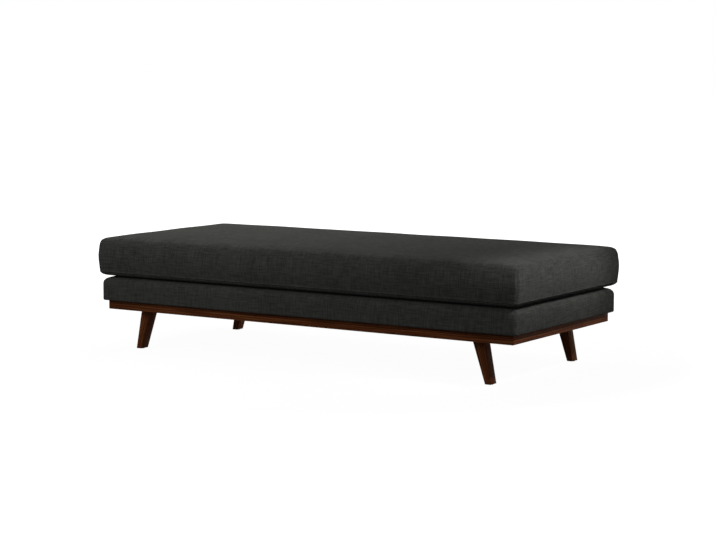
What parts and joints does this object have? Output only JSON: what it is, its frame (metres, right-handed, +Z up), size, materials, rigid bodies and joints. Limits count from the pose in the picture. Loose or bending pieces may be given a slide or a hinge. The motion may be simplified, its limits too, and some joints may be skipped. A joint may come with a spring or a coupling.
{
  "type": "backless divan",
  "caption": "Long backless upholstered divan with a thick loose seat cushion in charcoal fabric on a padded base, a mitred walnut plinth and splayed tapered wooden legs.",
  "frame": {"origin": "on the floor under the middle of the divan", "axes": "+X along the length toward the right end as seen from the front, -Y is the front, +Z up"},
  "size_m": [1.816, 0.7978, 0.4343],
  "materials": {
    "upholstery_fabric": "charcoal linen-look plain weave with slubs, matt",
    "deck_fabric": "plain black decking cloth",
    "dust_cloth": "black non-woven dust cover",
    "walnut": "red-brown walnut stain, satin lacquer",
    "frame_timber": "planed softwood and plywood, unfinished",
    "zinc_steel": "zinc-plated steel",
    "glide_nylon": "black nylon",
    "webbing": "woven elastic webbing",
    "foam": "open-cell polyurethane foam",
    "fibre": "white polyester fibre wadding",
    "zip_fabric": "woven zip tape, dark grey",
    "zip_plastic": "dark grey nylon coil",
    "zip_metal": "black lacquered zinc"
  },
  "bodies": {
    "frame": {"leg_front_left": "walnut", "foot_glide_front_left": "glide_nylon", "leg_front_right": "walnut", "foot_glide_front_right": "glide_nylon", "leg_rear_left": "walnut", "foot_glide_rear_left": "glide_nylon", "leg_rear_right": "walnut", "foot_glide_rear_right": "glide_nylon", "plinth_rail_front": "walnut", "base_rail_front": "frame_timber", "plinth_rail_rear": "walnut", "base_rail_rear": "frame_timber", "plinth_rail_left": "walnut", "base_rail_left": "frame_timber", "plinth_rail_right": "walnut", "base_rail_right": "frame_timber", "plinth_bearer_left": "frame_timber", "base_cross_rail_left": "frame_timber", "plinth_bearer_middle": "frame_timber", "base_cross_rail_middle": "frame_timber", "plinth_bearer_right": "frame_timber", "base_cross_rail_right": "frame_timber", "plinth_corner_blocks": "frame_timber", "base_corner_blocks": "frame_timber", "leg_plates": "zinc_steel", "leg_hanger_bolts": "zinc_steel", "leg_plate_screws": "zinc_steel", "plinth_screws": "zinc_steel", "base_frame_screws": "zinc_steel", "seat_webbing": "webbing", "deck_foam": "foam", "base_side_foam": "foam", "base_cover": "upholstery_fabric", "deck_cloth": "deck_fabric", "dust_cover": "dust_cloth"},
    "cushion": {"cushion_cover_top": "upholstery_fabric", "cushion_cover_bottom": "upholstery_fabric", "cushion_fibre_wrap": "fibre", "cushion_foam_core": "foam", "zip_tape": "zip_fabric", "zip_chain": "zip_plastic", "zip_stops": "zip_metal"},
    "zip_slider": {"zip_slider": "zip_metal"},
    "zip_pull": {"zip_pull": "zip_metal"}
  },
  "joints": [
    {"name": "cushion_lift", "type": "slide", "parent": "frame", "child": "cushion", "axis": [0, 0, 1], "range_m": [0, 0.25]},
    {"name": "zip_slide", "type": "slide", "parent": "cushion", "child": "zip_slider", "axis": [-1, 0, 0], "range_m": [0, 1.4734]},
    {"name": "pull_swing", "type": "hinge", "parent": "zip_slider", "child": "zip_pull", "pos_m": [0.7367, 0.4012, 0.3433], "axis": [0, 0, -1], "range_deg": [0, 160]}
  ]
}
